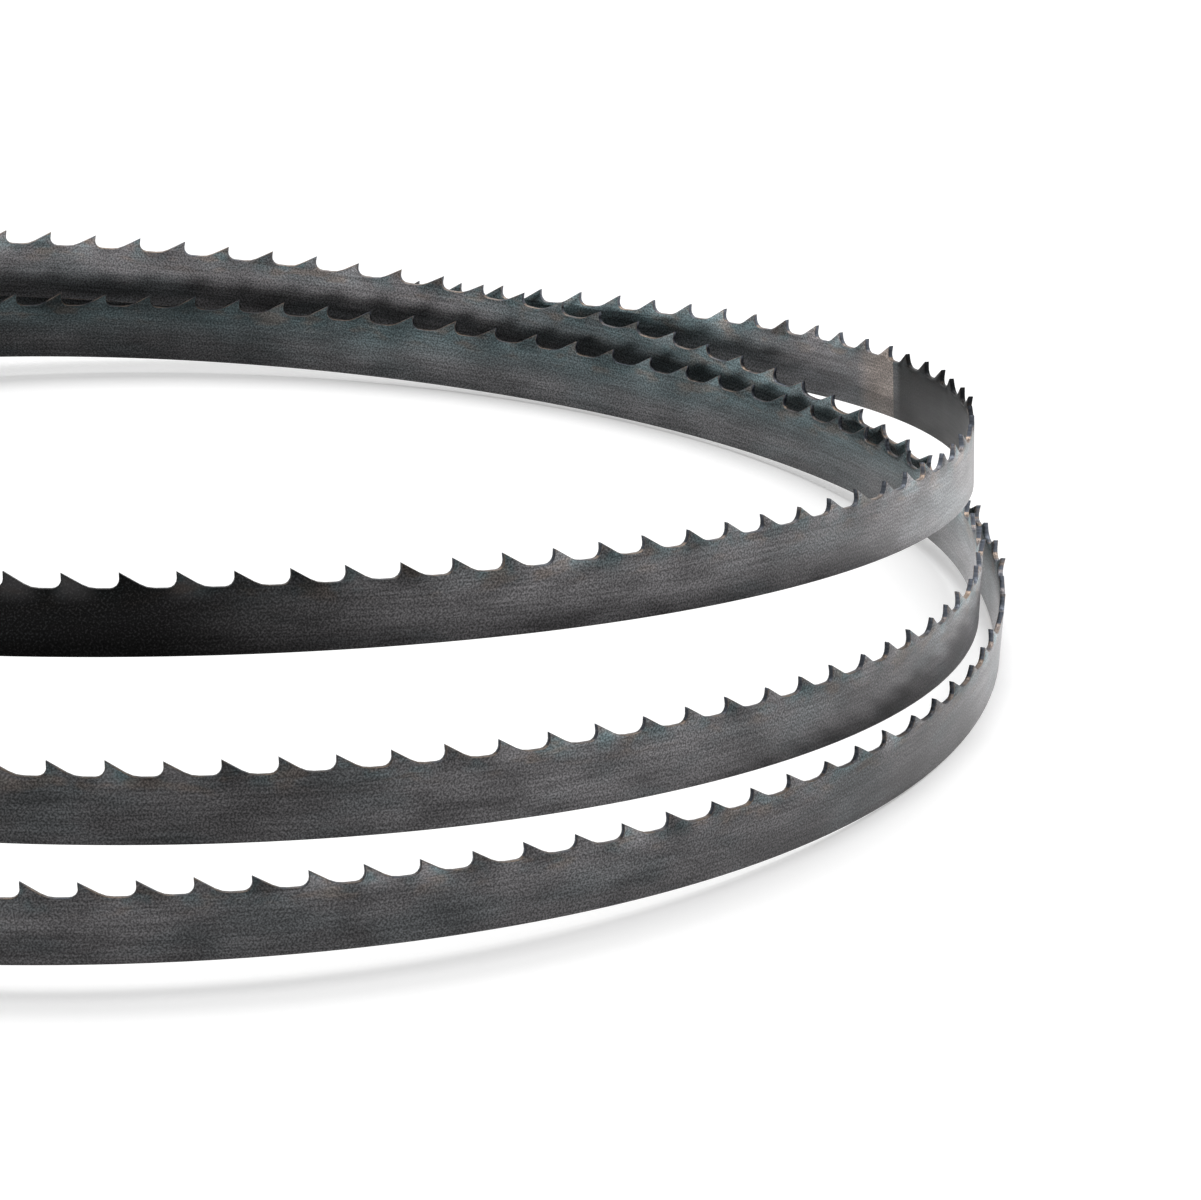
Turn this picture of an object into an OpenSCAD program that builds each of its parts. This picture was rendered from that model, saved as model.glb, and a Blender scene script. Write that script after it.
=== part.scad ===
// Band saw blade, coiled in three turns and lying on its back edge with the teeth up.
// The blade is one closed strip of spring steel, so its back edge is one smooth closed
// path of three turns, and the width and the teeth follow from that path.

/* [Band] */
// Length around the closed band
blade_length = 2083; // [1200:1:3600]
// Width from the back edge to the tooth points
blade_width = 9.5; // [6:0.1:16]
// Thickness of the steel
blade_thickness = 0.64; // [0.3:0.01:1.2]

/* [Teeth] */
// Distance from one tooth point to the next
tooth_pitch = 6.35; // [5:0.05:13]
// Depth of the gullets below the tooth points
gullet_depth = 1.8; // [1.2:0.05:2.4]
// Radius between the face of a tooth and the floor of its gullet
gullet_radius = 1; // [0.4:0.05:1.1]
// Angle by which the face of a tooth leans forward over its gullet
rake_angle = 3; // [0:0.5:10]
// Slope of the back of a tooth
back_angle = 30; // [28:1:45]
// Length over which the back of a tooth eases into the floor of the gullet
back_ease = 0.9; // [0.3:0.05:1.2]
// How far the points of the bent teeth stand out from the straight ones
set_width = 0.26; // [0:0.01:0.5]
// How far past the front of the coil the first tooth has its point
first_tooth = 3.8; // [0:0.1:19]

/* [Coil] */
// Room that stays clear where two strands pass side by side
strand_gap = 0.84; // [0.5:0.02:3]

/* [Hidden] */

turns = 3;

// How the coil lies, at every sixth of a turn: front, front right, back right, back,
// back left and front left, seen from above in the order of the turns.
// Distance of each place outside the mean circle, in steps from strand to strand
outset = [
    -4.5, -2.75, 1.25, 0, 2, 0.5,
    1.75, 1.25, -1.5, -3.5, 0.5, 2,
    2.5, 2.25, 0, -1.25, 0.25, -3
];
// Height of the back edge at the same places, in blade widths
rise = [
    3.5, 2.65, 1.1, 0.3, 1.15, 1.65,
    1.7, 0.95, 0.1, 0.2, 0.35, 0.05,
    0.25, 0, 0.22, 0.9, 2.1, 3.15
];

// One step outward clears the steel and the set of both strands
strand_step = blade_thickness + 2 * set_width + strand_gap;
places = len(outset);
full_angle = 360 * turns;

// Teeth come in sets of three: one bent outward, one straight, one bent inward
tooth_count = 3 * round(blade_length / tooth_pitch / 3);
spacing = blade_length / tooth_count;
gullet_line = blade_width - gullet_depth;

// Path of the back edge

// Influence of place i at the angle u: one at that place, none at the others, smooth between
function influence(u, i) =
    let (x = u / turns - 360 * i / places)
    abs(sin(x / 2)) < 1e-9 ? 1 : sin(x * places / 2) * cos(x / 2) / (places * sin(x / 2));

function influences(u) = [for (i = [0:places - 1]) influence(u, i)];

// Point of the back edge at the angle u, counted from the front toward the right
function edge_point(u, mean_radius) =
    let (
        w = influences(u),
        r = mean_radius + strand_step * (outset * w),
        z = blade_width * (rise * w)
    )
    [r * sin(u), -r * cos(u), z];

function edge_points(mean_radius) = [for (u = [0:full_angle]) edge_point(u, mean_radius)];

// Distance run along a list of points, up to each of them
function distances(p) =
    let (last = len(p) - 1)
    [for (k = 0, s = 0; k <= last; s = s + (k < last ? norm(p[k + 1] - p[k]) : 0), k = k + 1) s];

function path_length(mean_radius) =
    let (d = distances(edge_points(mean_radius)))
    d[len(d) - 1];

// Mean radius at which the path is as long as the blade
first_radius = blade_length / (2 * PI * turns);
second_radius = first_radius + (blade_length - path_length(first_radius)) / (2 * PI * turns);
mean_radius = second_radius + (blade_length - path_length(second_radius)) / (2 * PI * turns);

// Angle at each distance along the blade
edge = edge_points(mean_radius);
travel = distances(edge);
angle_table = [for (k = [0:full_angle]) [travel[k], k]];
path_total = travel[full_angle];

function wrap(s) = s - path_total * floor(s / path_total);
function unit(v) = v / norm(v);

// Frame of the band at the distance s: point of the back edge, way up across the width
// and way outward. The strip bends only about its width, so its width stands square
// to the plane in which the path turns.
function frame_at(s) =
    let (
        u = lookup(wrap(s), angle_table),
        here = edge_point(u, mean_radius),
        ahead = edge_point(u + 1, mean_radius),
        behind = edge_point(u - 1, mean_radius),
        along = unit(ahead - behind),
        up = unit(cross(ahead - behind, ahead + behind - 2 * here))
    )
    [here, up, cross(along, up)];

// Shape of the teeth

// Outline of one tooth, from the floor of its gullet over the point to the next floor,
// as [distance along the blade from the point, depth below the point]
function face_curve(angle) = [
    (gullet_depth - gullet_radius) * tan(rake_angle) - gullet_radius * (1 - cos(angle)),
    gullet_depth - gullet_radius * (1 - sin(angle))
];
back_foot = gullet_depth / tan(back_angle);
tooth_outline = [
    face_curve(90),
    face_curve(45),
    face_curve(0),
    [0, 0],
    [back_foot - back_ease * cos(back_angle), gullet_depth - back_ease * sin(back_angle)],
    [back_foot + back_ease, gullet_depth]
];
outline_count = len(tooth_outline);

// Side to which tooth k is bent
function side_of(k) = 1 - k % 3;

// Bend at the height h above the back edge
function bend(k, h) = side_of(k) * set_width * max(0, h - gullet_line) / gullet_depth;

// The strip as one closed surface

// Points of tooth k: its outline and two points of the back edge, each on both sides
function section(s, h, shift) =
    let (f = frame_at(first_tooth + s), mid = f[0] + h * f[1] + shift * f[2])
    [mid + f[2] * blade_thickness / 2, mid - f[2] * blade_thickness / 2];

function tooth_points(k) = [
    for (q = tooth_outline)
        let (h = blade_width - q[1])
        each section(k * spacing + q[0], h, bend(k, h)),
    for (part = [0, 0.5])
        each section((k + part) * spacing, 0, 0)
];

per_tooth = 2 * (outline_count + 2);
raw_points = [for (k = [0:tooth_count - 1]) each tooth_points(k)];

// Index of place q of tooth k on the outer side (0) or the inner side (1)
function at(k, q, side) = (k % tooth_count) * per_tooth + 2 * q + side;

// Triangles of the outer side of tooth k, as [tooth, place] corners
function side_triangles(k) =
    let (b = outline_count, n = k + 1)
    [
        [[k, 2], [k, 3], [k, 4]],
        [[k, 0], [k, 1], [k, b]],
        [[k, 1], [k, 2], [k, b]],
        [[k, 2], [k, 4], [k, b]],
        [[k, b], [k, 4], [k, b + 1]],
        [[k, 4], [k, 5], [k, b + 1]],
        [[k, 5], [n, 0], [k, b + 1]],
        [[k, b + 1], [n, 0], [n, b]]
    ];

// Pairs of neighbouring places along the toothed edge and along the back edge
function top_pairs(k) = [
    for (q = [0:outline_count - 1])
        [[k, q], q < outline_count - 1 ? [k, q + 1] : [k + 1, 0]]
];
function back_pairs(k) =
    let (b = outline_count)
    [[[k, b], [k, b + 1]], [[k, b + 1], [k + 1, b]]];

function outer(c) = at(c[0], c[1], 0);
function inner(c) = at(c[0], c[1], 1);

faces = [
    for (k = [0:tooth_count - 1]) each [
        for (t = side_triangles(k)) each [
            [outer(t[0]), outer(t[1]), outer(t[2])],
            [inner(t[0]), inner(t[2]), inner(t[1])]
        ],
        for (e = top_pairs(k)) each [
            [inner(e[0]), inner(e[1]), outer(e[1])],
            [inner(e[0]), outer(e[1]), outer(e[0])]
        ],
        for (e = back_pairs(k)) each [
            [outer(e[0]), outer(e[1]), inner(e[1])],
            [outer(e[0]), inner(e[1]), inner(e[0])]
        ]
    ]
];

// The coil is centred over the origin and its lowest point lies on the ground
function axis_values(i) = [for (p = raw_points) p[i]];
function middle(v) = (min(v) + max(v)) / 2;
offset_to_origin = [middle(axis_values(0)), middle(axis_values(1)), min(axis_values(2))];
points = [for (p = raw_points) p - offset_to_origin];

module saw_band() {
    color("#3d4144")
        polyhedron(points = points, faces = faces, convexity = 20);
}

saw_band();
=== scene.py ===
import math

import bmesh
import bpy
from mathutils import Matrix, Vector


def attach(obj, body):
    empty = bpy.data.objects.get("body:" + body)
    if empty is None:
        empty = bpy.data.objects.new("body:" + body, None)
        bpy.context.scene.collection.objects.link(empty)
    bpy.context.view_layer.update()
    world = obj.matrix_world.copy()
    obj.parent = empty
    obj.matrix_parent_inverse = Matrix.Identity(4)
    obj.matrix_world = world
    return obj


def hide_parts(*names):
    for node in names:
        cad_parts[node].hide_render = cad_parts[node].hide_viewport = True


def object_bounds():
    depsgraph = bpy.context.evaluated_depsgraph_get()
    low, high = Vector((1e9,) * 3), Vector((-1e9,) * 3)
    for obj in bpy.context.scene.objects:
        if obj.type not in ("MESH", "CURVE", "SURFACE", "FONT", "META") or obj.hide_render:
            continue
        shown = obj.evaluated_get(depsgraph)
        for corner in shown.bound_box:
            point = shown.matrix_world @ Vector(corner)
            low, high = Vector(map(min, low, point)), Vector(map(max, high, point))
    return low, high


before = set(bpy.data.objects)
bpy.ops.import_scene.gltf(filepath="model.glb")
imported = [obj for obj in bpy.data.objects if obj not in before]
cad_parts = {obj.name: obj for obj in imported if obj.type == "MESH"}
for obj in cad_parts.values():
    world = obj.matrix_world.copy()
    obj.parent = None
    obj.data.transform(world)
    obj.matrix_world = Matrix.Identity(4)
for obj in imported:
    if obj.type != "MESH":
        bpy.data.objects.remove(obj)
cadLow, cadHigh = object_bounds()
print("frame loaded")


# Sizes of the blade in metres and degrees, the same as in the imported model
bandSizes = {
    "length": 2.083,
    "width": 0.0095,
    "thickness": 0.00064,
    "toothPitch": 0.00635,
    "teethInSet": 3,  # one bent outward, one straight, one bent inward
    "gulletDepth": 0.0018,
    "gulletRadius": 0.001,
    "rakeAngle": 3,
    "backAngle": 30,
    "backEase": 0.0009,  # length over which the back of a tooth eases into its gullet
    "toothSet": 0.00026,  # how far the bent points stand out
    "firstTooth": 0.0038,  # how far past the front of the coil the first point is
    # Only here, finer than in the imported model
    "gulletTurns": (90, 67, 44, 21, 0),  # points round a gullet, from its floor to the tooth's face
    "supportDrop": 0.0005,  # a row of points this far under the gullets keeps the sides flat
    "cornerSize": 0.00005,  # width of the broken corners
    "weldPlace": 114,  # angle round the coil near which the weld lies
}

# How the coil lies, at every sixth of a turn from the front toward the right
coilLay = {
    "turns": 3,
    "strandGap": 0.00084,  # room where two strands pass side by side
    # Outside the mean circle, in steps from strand to strand
    "outset": [-4.5, -2.75, 1.25, 0, 2, 0.5, 1.75, 1.25, -1.5, -3.5, 0.5, 2,
               2.5, 2.25, 0, -1.25, 0.25, -3],
    # Height of the back edge, in widths of the band
    "rise": [3.5, 2.65, 1.1, 0.3, 1.15, 1.65, 1.7, 0.95, 0.1, 0.2, 0.35, 0.05,
             0.25, 0, 0.22, 0.9, 2.1, 3.15],
}

places = len(coilLay["outset"])
strandStep = bandSizes["thickness"] + 2 * bandSizes["toothSet"] + coilLay["strandGap"]
fullAngle = 360 * coilLay["turns"]
toothSets = round(bandSizes["length"] / bandSizes["toothPitch"] / bandSizes["teethInSet"])
toothCount = toothSets * bandSizes["teethInSet"]
toothSpacing = bandSizes["length"] / toothCount
gulletLine = bandSizes["width"] - bandSizes["gulletDepth"]
mergeDistance = 1e-6  # metres between points that become one
closeToZero = 1e-9


def influence(angle, place):  # one at that place, none at the others, smooth between
    x = math.radians(angle / coilLay["turns"] - 360 * place / places)
    if abs(math.sin(x / 2)) < closeToZero:
        return 1.0
    return math.sin(x * places / 2) * math.cos(x / 2) / (places * math.sin(x / 2))


def edgePoint(angle, meanRadius):  # point of the back edge
    shares = [influence(angle, i) for i in range(places)]
    radius = meanRadius + strandStep * sum(s * o for s, o in zip(shares, coilLay["outset"]))
    height = bandSizes["width"] * sum(s * r for s, r in zip(shares, coilLay["rise"]))
    turn = math.radians(angle)
    return Vector((radius * math.sin(turn), -radius * math.cos(turn), height))


def travelTable(meanRadius):  # distance run along the back edge, at each degree
    points = [edgePoint(a, meanRadius) for a in range(fullAngle + 1)]
    table = [0.0]
    for here, ahead in zip(points, points[1:]):
        table.append(table[-1] + (ahead - here).length)
    return table


# Mean radius at which the path is as long as the blade
coilRadius = bandSizes["length"] / (2 * math.pi * coilLay["turns"])
for attempt in range(2):
    spare = bandSizes["length"] - travelTable(coilRadius)[-1]
    coilRadius += spare / (2 * math.pi * coilLay["turns"])
travel = travelTable(coilRadius)


def angleAt(distance):  # angle round the coil at that distance along the blade
    distance %= travel[-1]
    low, high = 0, fullAngle
    while high - low > 1:
        middle = (low + high) // 2
        low, high = (middle, high) if travel[middle] <= distance else (low, middle)
    return low + (distance - travel[low]) / (travel[high] - travel[low])


def bandFrame(distance):  # back edge, way up across the width, way outward
    angle = angleAt(distance)
    here, ahead, behind = (edgePoint(angle + d, coilRadius) for d in (0, 1, -1))
    along = (ahead - behind).normalized()
    up = (ahead - behind).cross(ahead + behind - 2 * here).normalized()
    return here, up, along.cross(up)


def toothOutline():  # from a gullet's floor over the point to the next floor
    depth, radius = bandSizes["gulletDepth"], bandSizes["gulletRadius"]
    rake, back = math.radians(bandSizes["rakeAngle"]), math.radians(bandSizes["backAngle"])
    ease = bandSizes["backEase"]
    points = []  # distance along the blade from the point, and depth below it
    for degrees in bandSizes["gulletTurns"]:
        turn = math.radians(degrees)
        points.append(((depth - radius) * math.tan(rake) - radius * (1 - math.cos(turn)),
                       depth - radius * (1 - math.sin(turn))))
    points.append((0, 0))
    foot = depth / math.tan(back)
    easeStart = (foot - ease * math.cos(back), depth - ease * math.sin(back))
    easeEnd = (foot + ease, depth)
    easeMiddle = [(a + 2 * b + c) / 4 for a, b, c in zip(easeStart, (foot, depth), easeEnd)]
    points += [easeStart, easeMiddle, easeEnd]
    return [(x, bandSizes["width"] - d) for x, d in points]


outline = toothOutline()
# A tooth's cell starts half-way along the floor of the gullet before it
floorLength = toothSpacing - outline[-1][0] + outline[0][0]
cellStart = outline[0][0] - floorLength / 2
# The strip starts at the weld, in the gullet before this tooth
weldTooth = round(travel[bandSizes["weldPlace"]] / toothSpacing)
stripStart = bandSizes["firstTooth"] + cellStart + toothSpacing * weldTooth


def addObject(name, bm):
    mesh = bpy.data.meshes.new(name)
    bm.to_mesh(mesh)
    bm.free()
    made = bpy.data.objects.new(name, mesh)
    bpy.context.scene.collection.objects.link(made)
    return made


def drawLine(bm, points):
    verts = [bm.verts.new((x, y, 0)) for x, y in points]
    edges = [bm.edges.new(pair) for pair in zip(verts, verts[1:])]
    return verts, edges


def vertsIn(geom):
    return [item for item in geom if isinstance(item, bmesh.types.BMVert)]


def addTooth(bm):  # one side of one tooth with the band under it, drawn flat
    floorStart, floorEnd = outline[0], outline[-1]
    under = ((floorStart[0] + floorEnd[0]) / 2, gulletLine)
    floorVerts, floorEdges = drawLine(bm, [(cellStart, gulletLine), floorStart, under, floorEnd,
                                           (cellStart + toothSpacing, gulletLine)])
    lowest = floorEdges
    for drop in (bandSizes["supportDrop"], gulletLine - bandSizes["supportDrop"]):
        made = bmesh.ops.extrude_edge_only(bm, edges=lowest)["geom"]
        bmesh.ops.translate(bm, verts=vertsIn(made), vec=(0, -drop, 0))
        lowest = [e for e in made if isinstance(e, bmesh.types.BMEdge)
                  and abs(e.verts[0].co.y - e.verts[1].co.y) < closeToZero]
    rim = drawLine(bm, outline)[0]
    bmesh.ops.weld_verts(bm, targetmap={rim[0]: floorVerts[1], rim[-1]: floorVerts[3]})
    point = rim[len(bandSizes["gulletTurns"])]
    bm.edges.new((point, floorVerts[2]))  # parts the tooth for its two faces
    around = [e for e in bm.edges if e.is_wire or e in floorEdges[1:3]]
    bmesh.ops.holes_fill(bm, edges=around, sides=len(around))


def flatStrip():  # one side of the whole strip, from weld to weld
    bm = bmesh.new()
    addTooth(bm)
    single = bm.verts[:] + bm.edges[:] + bm.faces[:]
    for k in range(1, toothCount):
        copied = vertsIn(bmesh.ops.duplicate(bm, geom=single)["geom"])
        bmesh.ops.translate(bm, verts=copied, vec=(k * toothSpacing, 0, 0))
    bmesh.ops.remove_doubles(bm, verts=bm.verts, dist=mergeDistance)
    bmesh.ops.recalc_face_normals(bm, faces=bm.faces)
    if bm.faces[0].normal.z < 0:
        bmesh.ops.reverse_faces(bm, faces=bm.faces)
    print("flat strip", len(bm.faces), "faces")
    return bm


def thicken(bm):  # half to each side of the drawing, with the two ends open for the weld
    bmesh.ops.solidify(bm, geom=bm.faces[:], thickness=bandSizes["thickness"])
    heights = [v.co.z for v in bm.verts]
    bmesh.ops.translate(bm, verts=bm.verts, vec=(0, 0, -(min(heights) + max(heights)) / 2))
    endPlaces = (cellStart, cellStart + bandSizes["length"])
    ends = [f for f in bm.faces
            if min(abs(f.calc_center_median().x - x) for x in endPlaces) < mergeDistance]
    bmesh.ops.delete(bm, geom=ends, context="FACES")
    print("thick strip", len(bm.faces), "faces, ends opened", len(ends))


# Order of the band's materials
sideSlot, rimSlot, toothFaceSlot = 0, 1, 2


def mapStrip(bm):  # finish by the way each face looks, and a map of its place on the strip
    sideways, forward = 0.5, 0.7  # how squarely a face looks that way
    uvMap = bm.loops.layers.uv.new("bandMap")
    for face in bm.faces:
        face.smooth = True
        face.material_index = rimSlot
        if abs(face.normal.z) > sideways:
            face.material_index = sideSlot
        elif face.normal.x < -forward:
            face.material_index = toothFaceSlot
        for corner in face.loops:
            corner[uvMap].uv = (corner.vert.co.x - cellStart, corner.vert.co.y)


def bendTeeth(bm):
    for v in bm.verts:
        tooth = weldTooth + math.floor((v.co.x - cellStart) / toothSpacing)
        side = 1 - tooth % bandSizes["teethInSet"]
        v.co.z += side * bandSizes["toothSet"] * max(0, v.co.y - gulletLine) / bandSizes["gulletDepth"]


def coilStrip(bm):  # the strip goes round the coil from the weld back to the weld
    frames = {}  # one for all the points at the same distance
    for v in bm.verts:
        key = round(v.co.x, 8)
        if key not in frames:
            frames[key] = bandFrame(stripStart - cellStart + v.co.x)
        here, up, out = frames[key]
        v.co = here + v.co.y * up + v.co.z * out
    bmesh.ops.remove_doubles(bm, verts=bm.verts, dist=mergeDistance)
    low = Vector([min(v.co[i] for v in bm.verts) for i in range(3)])
    high = Vector([max(v.co[i] for v in bm.verts) for i in range(3)])
    shift = (cadLow + cadHigh - low - high) / 2
    shift.z = cadLow.z - low.z
    bmesh.ops.translate(bm, verts=bm.verts, vec=shift)
    print("coil shift mm", [round(1000 * c, 3) for c in shift])


def breakCorners(bm):  # where a side meets a rim or a tooth's face
    corners = [e for e in bm.edges
               if sorted(f.material_index == sideSlot for f in e.link_faces) == [False, True]]
    made = bmesh.ops.bevel(bm, geom=corners, offset=bandSizes["cornerSize"], offset_type="OFFSET",
                           affect="EDGES", segments=1, profile=0.5, material=-1, clamp_overlap=True)
    for face in made["faces"]:
        face.material_index = rimSlot
        face.smooth = True


def makeBand():
    bm = flatStrip()
    thicken(bm)
    mapStrip(bm)
    bendTeeth(bm)
    coilStrip(bm)
    breakCorners(bm)
    openEdges = sum(1 for e in bm.edges if len(e.link_faces) != 2)
    print("band closed, open edges", openEdges, "faces", len(bm.faces))
    print("band volume mm3", round(bm.calc_volume() * 1e9, 1))
    return addObject("sawBand", bm)


band = makeBand()


def addNode(tree, kind, **inputs):
    node = tree.nodes.new(kind)
    for name, value in inputs.items():
        setattr(node, name, value)
    return node


def wire(tree, source, socket):  # a link, or a plain value
    if isinstance(source, bpy.types.NodeSocket):
        tree.links.new(source, socket)
    else:
        socket.default_value = source


def calc(tree, operation, first, second=0.0, clamp=False):
    node = addNode(tree, "ShaderNodeMath", operation=operation, use_clamp=clamp)
    wire(tree, first, node.inputs[0])
    wire(tree, second, node.inputs[1])
    return node.outputs[0]


def spread(tree, share, low, high):  # low where the share is 0, high where it is 1
    return calc(tree, "ADD", calc(tree, "MULTIPLY", share, high - low), low)


def fade(tree, value, start, end):  # 0 before start, 1 past end
    node = addNode(tree, "ShaderNodeMapRange", interpolation_type="SMOOTHSTEP")
    wire(tree, value, node.inputs["Value"])
    node.inputs["From Min"].default_value = start
    node.inputs["From Max"].default_value = end
    return node.outputs["Result"]


def window(tree, value, start, full, back, end):  # 1 from full to back, 0 before start and past end
    return calc(tree, "MULTIPLY", fade(tree, value, start, full),
                spread(tree, fade(tree, value, back, end), 1, 0))


def blendColor(tree, share, first, second, blend="MIX"):
    node = addNode(tree, "ShaderNodeMix", data_type="RGBA", blend_type=blend)
    factor, colorA, colorB = (node.inputs[i] for i in (0, 6, 7))  # the sockets used for colours
    for source, socket in ((share, factor), (first, colorA), (second, colorB)):
        wire(tree, (*source, 1) if isinstance(source, tuple) else source, socket)
    return node.outputs[2]


def tinted(tree, color, light):  # color times lightness
    grey = addNode(tree, "ShaderNodeCombineColor")
    for socket in grey.inputs[:3]:
        tree.links.new(light, socket)
    return blendColor(tree, 1.0, color, grey.outputs[0], "MULTIPLY")


def speckle(tree, place, along, across, detail, shift=0, turn=0):  # spots of that length and height
    mapping = addNode(tree, "ShaderNodeMapping")
    mapping.inputs["Location"].default_value = (shift, shift, 0)
    mapping.inputs["Rotation"].default_value = (0, 0, math.radians(turn))
    mapping.inputs["Scale"].default_value = (1 / along, 1 / across, 1)
    tree.links.new(place, mapping.inputs["Vector"])
    noise = addNode(tree, "ShaderNodeTexNoise", noise_dimensions="2D")
    noise.inputs["Scale"].default_value = 1
    noise.inputs["Detail"].default_value = detail
    tree.links.new(mapping.outputs[0], noise.inputs["Vector"])
    return noise.outputs["Fac"]


# Finish of the steel's sides, with stretches of painted highlight and painted shade, in metres on the
# strip. A fade is given by where it starts and ends.
steelFinish = {
    "oxide": (0.102, 0.099, 0.102),
    "blueOxide": (0.077, 0.102, 0.108),
    "brownOxide": (0.12, 0.095, 0.08),
    "bareWeld": (0.34, 0.29, 0.26),
    "metallic": 0.9,
    "roughness": 0.38,
    "roughMottle": 0.1,
    "roughStreaks": 0.08,
    "relief": 0.4,
    "bump": 0.35,
    "bumpDepth": 0.00003,
    # Spots of each pattern: length, height, detail, shift of the pattern and turn in degrees
    "cloudSpots": (0.016, 0.006, 3, 3),
    "toothCloudSpots": (0.55 * toothSpacing, 0.003, 2, 11),
    "brownCloudSpots": (0.8 * toothSpacing, 0.002, 2, 23),
    "grainSpots": (0.00024, 0.00024, 1.5, 0, 37),
    "streakSpots": (0.012, 0.00025, 3, 5),
    "mottleSpots": (0.009, 0.0035, 3, 17),
    # How far the patterns change the lightness
    "patternFade": (0.25, 0.75),
    "grain": 0.5,
    "streaks": 0.22,
    "mottle": 0.25,
    "speckFade": (0.5, 0.8),
    "specks": 0.14,
    # Teeth: where they begin, counted from the gullets up, and where on its spacing each one stands
    "toothFade": (-0.0022, 0.0006),
    "toothWindow": (0, 0.35, 0.55, 1),
    "toothSwing": 1.0,
    "paleFade": (0.5, 1.0),
    "paleTeeth": 0.25,
    # Blue-green and brown heat tints
    "cloudFade": (0.45, 0.7),
    "cloudBlue": 0.25,
    "blueHeights": (0.0025, 0.0065),
    "blueShares": (0.1, 0.75),
    "toothCloudFade": (0.42, 0.66),
    "toothBlue": 0.8,
    "brownHeights": (-0.003, -0.001),  # counted from the gullets up
    "brownFade": (0.5, 0.72),
    "brown": 0.5,
    # Bare ground patch, counted from the weld
    "weldFade": (0.0045, 0.0108),
    "weldShare": 0.8,
    # Stretches of painted reflection: painted highlight where the lightness is over 1, painted shade
    # where it is under 1.
    # Angles round the coil at which a stretch starts to change, is full, starts to go back and ends, and
    # how light the steel is painted there. No stretch passes the weld.
    "paintedLightStretches": [
        (-25, -12, 6, 35, 0.03),  # front of the first turn
        (61, 76, 86, 92, 2.35),  # its right end
        (88, 98, 113, 114, 0.12),  # right of the weld
        (117, 119, 145, 165, 1.8),  # left of the weld
        (330, 345, 370, 395, 0.48),  # front of the second turn
        (420, 438, 450, 465, 2.9),  # its right end
        (516, 541, 640, 700, 0.4),  # its back and left
        (690, 705, 735, 750, 0.75),  # front of the third turn
        (783, 798, 840, 862, 2.2),  # its right end
        (788, 798, 808, 820, 1.27),  # lightest where it turns back
        (862, 880, 1000, 1030, 1.4),  # its back and left
    ],
    "blueStretches": [(125, 138, 165, 200), (440, 470, 560, 600), (800, 835, 860, 880)],
}


def between(tree, along, angles):  # window along the strip, given by angles round the coil
    stops = [(travel[round(a) % fullAngle] - stripStart) % travel[-1] for a in angles]
    return window(tree, along, *stops)


# Painted highlights and painted shade: lighter and darker stretches that stand in for reflections in the
# steel
def paintedLightAndShade(tree, light, along):  # lightness with the lighter and darker stretches
    for *angles, tone in steelFinish["paintedLightStretches"]:
        light = calc(tree, "MULTIPLY", light, spread(tree, between(tree, along, angles), 1, tone))
    return light


def newSteel(name):  # with its place on the strip, also split in distance along and height across
    material = bpy.data.materials.new(name)
    material.use_nodes = True
    tree = material.node_tree
    place = addNode(tree, "ShaderNodeUVMap", uv_map="bandMap").outputs[0]
    split = addNode(tree, "ShaderNodeSeparateXYZ")
    tree.links.new(place, split.inputs[0])
    return material, tree, place, split.outputs


def connectSteel(tree, finish, color, rough, relief):
    shader = tree.nodes["Principled BSDF"]
    shader.inputs["Metallic"].default_value = finish["metallic"]
    bump = addNode(tree, "ShaderNodeBump")
    bump.inputs["Strength"].default_value = finish["bump"]
    bump.inputs["Distance"].default_value = finish["bumpDepth"]
    tree.links.new(relief, bump.inputs["Height"])
    tree.links.new(color, shader.inputs["Base Color"])
    tree.links.new(rough, shader.inputs["Roughness"])
    tree.links.new(bump.outputs[0], shader.inputs["Normal"])


def heatTints(tree, finish, place, along, across, nearTeeth):  # color of the oxide
    cloud = speckle(tree, place, *finish["cloudSpots"])
    blue = calc(tree, "MULTIPLY", fade(tree, cloud, *finish["cloudFade"]), finish["cloudBlue"])
    upward = spread(tree, fade(tree, across, *finish["blueHeights"]), *finish["blueShares"])
    for angles in finish["blueStretches"]:
        inside = calc(tree, "MULTIPLY", between(tree, along, angles), upward)
        blue = calc(tree, "ADD", blue, inside, clamp=True)
    toothCloud = speckle(tree, place, *finish["toothCloudSpots"])
    toothBlue = calc(tree, "MULTIPLY", nearTeeth, fade(tree, toothCloud, *finish["toothCloudFade"]))
    blue = calc(tree, "ADD", blue, calc(tree, "MULTIPLY", toothBlue, finish["toothBlue"]), clamp=True)
    color = blendColor(tree, blue, finish["oxide"], finish["blueOxide"])
    brownCloud = speckle(tree, place, *finish["brownCloudSpots"])
    brownHeights = [gulletLine + height for height in finish["brownHeights"]]
    brown = calc(tree, "MULTIPLY", fade(tree, across, *brownHeights),
                 fade(tree, brownCloud, *finish["brownFade"]))
    return blendColor(tree, calc(tree, "MULTIPLY", brown, finish["brown"]), color, finish["brownOxide"])


def toothTones(tree, finish, along, nearTeeth):  # each tooth took the heat a little differently
    teeth = calc(tree, "DIVIDE", along, toothSpacing)
    onTooth = window(tree, calc(tree, "FRACT", teeth), *finish["toothWindow"])
    onTooth = calc(tree, "MULTIPLY", nearTeeth, onTooth)
    chance = addNode(tree, "ShaderNodeTexWhiteNoise", noise_dimensions="1D")
    tree.links.new(calc(tree, "FLOOR", teeth), chance.inputs["W"])
    tone = chance.outputs["Value"]
    swing = spread(tree, tone, -finish["toothSwing"] / 2, finish["toothSwing"] / 2)
    factor = calc(tree, "ADD", calc(tree, "MULTIPLY", swing, onTooth), 1)
    pale = calc(tree, "MULTIPLY", fade(tree, tone, *finish["paleFade"]), onTooth)
    return factor, calc(tree, "MULTIPLY", pale, finish["paleTeeth"])


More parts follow.
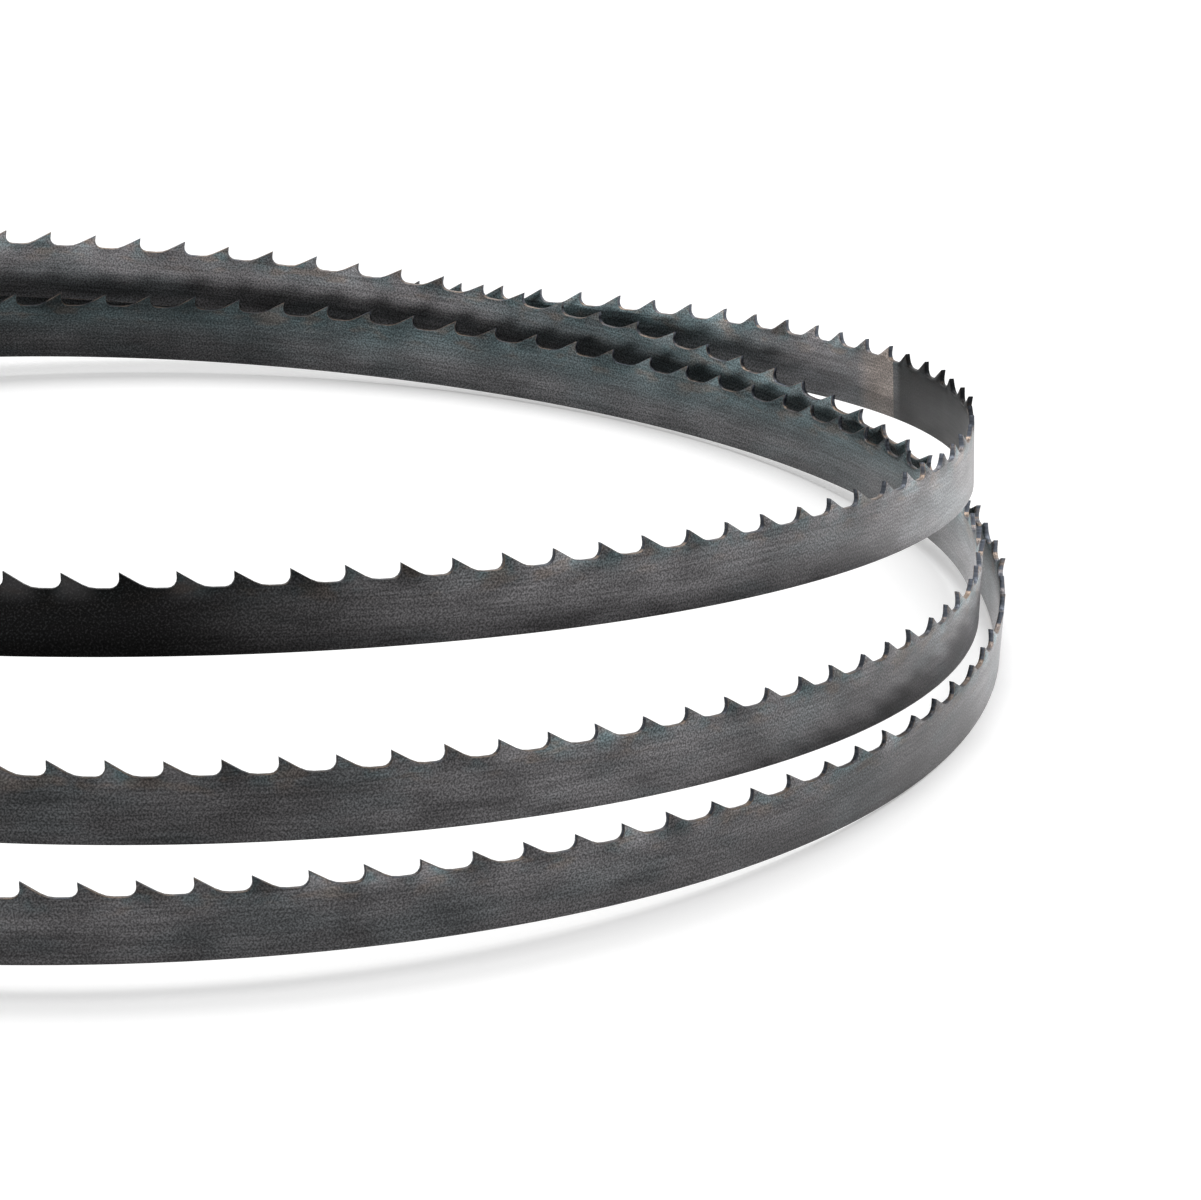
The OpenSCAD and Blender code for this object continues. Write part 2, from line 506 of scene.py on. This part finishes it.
def blackSteel(name, finish):
    material, tree, place, parts = newSteel(name)
    along, across = parts["X"], parts["Y"]
    nearTeeth = fade(tree, across, *[gulletLine + height for height in finish["toothFade"]])
    color = heatTints(tree, finish, place, along, across, nearTeeth)

    # Grain, rolling marks along the band and cloudy patches
    grain = speckle(tree, place, *finish["grainSpots"])
    streak = speckle(tree, place, *finish["streakSpots"])
    mottle = speckle(tree, place, *finish["mottleSpots"])
    light = 1.0
    for pattern, change in ((grain, "grain"), (streak, "streaks"), (mottle, "mottle")):
        level = fade(tree, pattern, *finish["patternFade"])
        light = calc(tree, "MULTIPLY", light, spread(tree, level, 1 - finish[change], 1 + finish[change]))
    toothFactor, paleTeeth = toothTones(tree, finish, along, nearTeeth)
    # Painted reflections: the stretches paint highlight and shade into the lightness
    light = paintedLightAndShade(tree, calc(tree, "MULTIPLY", light, toothFactor), along)
    # Specks and pale teeth show in the darkest stretch of painted shade too
    specks = calc(tree, "MULTIPLY", fade(tree, grain, *finish["speckFade"]), finish["specks"])
    light = calc(tree, "ADD", light, calc(tree, "ADD", specks, paleTeeth))
    color = tinted(tree, color, light)

    # The bare patch is sharp at the weld itself and fades out along the strip
    bare = spread(tree, fade(tree, along, *finish["weldFade"]), finish["weldShare"], 0)
    color = blendColor(tree, bare, color, tinted(tree, finish["bareWeld"], light))

    smoothest = finish["roughness"] - (finish["roughMottle"] + finish["roughStreaks"]) / 2
    rough = spread(tree, mottle, smoothest, smoothest + finish["roughMottle"])
    rough = calc(tree, "ADD", rough, calc(tree, "MULTIPLY", streak, finish["roughStreaks"]))
    relief = calc(tree, "MULTIPLY", calc(tree, "ADD", grain, streak), finish["relief"])
    connectSteel(tree, finish, color, rough, relief)
    return material


# Rims and broken corners: ground gullets and tooth backs, and darker tooth faces
rimFinish = {
    "dark": (0.045, 0.05, 0.06),
    "tan": (0.12, 0.092, 0.072),
    "rimTan": (0.3, 0.7),  # levels of the clouds at which tan starts and is full
    "toothFaceTan": (0.6, 0.9),
    "metallic": 0.85,
    "roughness": 0.42,
    "roughSwing": 0.1,
    "lightRange": (0.4, 1.6),
    "bump": 0.3,
    "bumpDepth": 0.00002,
    # Length, height, detail and shift, as above
    "cloudSpots": (0.004, 0.0015, 2, 7),
    "fineSpots": (0.0003, 0.0003, 1, 9),
}


def rimSteel(name, finish, tanFade):
    material, tree, place, parts = newSteel(name)
    cloud = speckle(tree, place, *finish["cloudSpots"])
    fine = speckle(tree, place, *finish["fineSpots"])
    color = blendColor(tree, fade(tree, cloud, *tanFade), finish["dark"], finish["tan"])
    # The same stretches of painted highlight and painted shade, on the rims
    light = paintedLightAndShade(tree, spread(tree, fine, *finish["lightRange"]), parts["X"])
    swing = finish["roughSwing"]
    rough = spread(tree, fine, finish["roughness"] - swing, finish["roughness"] + swing)
    connectSteel(tree, finish, tinted(tree, color, light), rough, fine)
    return material


# In the order of sideSlot, rimSlot and toothFaceSlot
band.data.materials.append(blackSteel("blackenedSteel", steelFinish))
band.data.materials.append(rimSteel("groundRim", rimFinish, rimFinish["rimTan"]))
band.data.materials.append(rimSteel("toothFace", rimFinish, rimFinish["toothFaceTan"]))
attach(band, "root")
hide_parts("saw_band")
print("band dressed, weld at", round(angleAt(stripStart), 2), "degrees")


# Floor, background and light
studio = {
    "floorReach": 4,  # metres from the middle to the edge
    "floorColor": (0.8, 0.8, 0.8, 1),
    "floorLift": 0.32,  # seen by the camera and in reflections only
    "skyColor": (1, 1, 1, 1),
    "skyLight": 0.22,  # falls on the object
    "skySeen": 1.0,  # seen by the camera and in reflections
    "sunStrength": 2.7,
    "sunSoftness": 60,
    "sunTilt": 23,  # from straight up toward the back
    "sideStrength": 0.6,
    "sideSoftness": 60,
    "sideToward": (1, 0.1, 0.6),
}


def seenRays(tree):  # 1 for what the camera sees, straight, mirrored or through glass
    path = addNode(tree, "ShaderNodeLightPath")
    seen = calc(tree, "MAXIMUM", path.outputs["Is Camera Ray"], path.outputs["Is Glossy Ray"])
    return calc(tree, "MAXIMUM", seen, path.outputs["Is Transmission Ray"])


def makeFloor():
    bm = bmesh.new()
    bmesh.ops.create_grid(bm, x_segments=1, y_segments=1, size=studio["floorReach"])
    floor = addObject("floor", bm)
    material = bpy.data.materials.new("floorPaper")
    material.use_nodes = True
    tree = material.node_tree
    tree.nodes.clear()
    paper = addNode(tree, "ShaderNodeBsdfDiffuse")
    paper.inputs["Color"].default_value = studio["floorColor"]
    lift = addNode(tree, "ShaderNodeEmission")
    tree.links.new(calc(tree, "MULTIPLY", seenRays(tree), studio["floorLift"]), lift.inputs["Strength"])
    total = addNode(tree, "ShaderNodeAddShader")
    out = addNode(tree, "ShaderNodeOutputMaterial")
    tree.links.new(paper.outputs[0], total.inputs[0])
    tree.links.new(lift.outputs[0], total.inputs[1])
    tree.links.new(total.outputs[0], out.inputs[0])
    floor.data.materials.append(material)


def makeSky():
    world = bpy.data.worlds.new("studio")
    bpy.context.scene.world = world
    world.use_nodes = True
    tree = world.node_tree
    tree.nodes.clear()
    mix = addNode(tree, "ShaderNodeMixShader")
    tree.links.new(seenRays(tree), mix.inputs[0])
    for strength, socket in ((studio["skyLight"], mix.inputs[1]), (studio["skySeen"], mix.inputs[2])):
        sky = addNode(tree, "ShaderNodeBackground")
        sky.inputs["Color"].default_value = studio["skyColor"]
        sky.inputs["Strength"].default_value = strength
        tree.links.new(sky.outputs[0], socket)
    out = addNode(tree, "ShaderNodeOutputWorld")
    tree.links.new(mix.outputs[0], out.inputs[0])


def addSun(name, strength, softness, toward):  # toward: from the object to the light
    sun = bpy.data.lights.new(name, "SUN")
    sun.energy = strength
    sun.angle = math.radians(softness)
    sunObject = bpy.data.objects.new(name, sun)
    sunObject.rotation_euler = Vector(toward).to_track_quat("Z", "Y").to_euler()
    bpy.context.scene.collection.objects.link(sunObject)


makeFloor()
makeSky()
tilt = math.radians(studio["sunTilt"])
addSun("softSun", studio["sunStrength"], studio["sunSoftness"], (0, math.sin(tilt), math.cos(tilt)))
addSun("sideSun", studio["sideStrength"], studio["sideSoftness"], studio["sideToward"])
bpy.context.scene.view_settings.view_transform = "Standard"
print("studio lit")


# Camera fitted to the photograph, in metres and degrees, with its film and lens in millimetres
cameraFit = {
    "filmWidth": 36,
    "lens": 185.33,
    "elevation": 20.0267,
    "distance": 0.78641,
    "target": (0.063398, 0.001474, 0.003122),
    "clip": (0.01, 20),
}


def makeCamera():
    camera = bpy.data.objects.new("camera", bpy.data.cameras.new("camera"))
    bpy.context.scene.collection.objects.link(camera)
    camera.data.sensor_width = cameraFit["filmWidth"]
    camera.data.lens = cameraFit["lens"]
    camera.data.clip_start, camera.data.clip_end = cameraFit["clip"]
    elevation = math.radians(cameraFit["elevation"])
    backward = Vector((0, -math.cos(elevation), math.sin(elevation)))
    camera.location = Vector(cameraFit["target"]) + cameraFit["distance"] * backward
    camera.rotation_euler = (math.pi / 2 - elevation, 0, 0)
    bpy.context.scene.camera = camera


makeCamera()
print("camera placed")
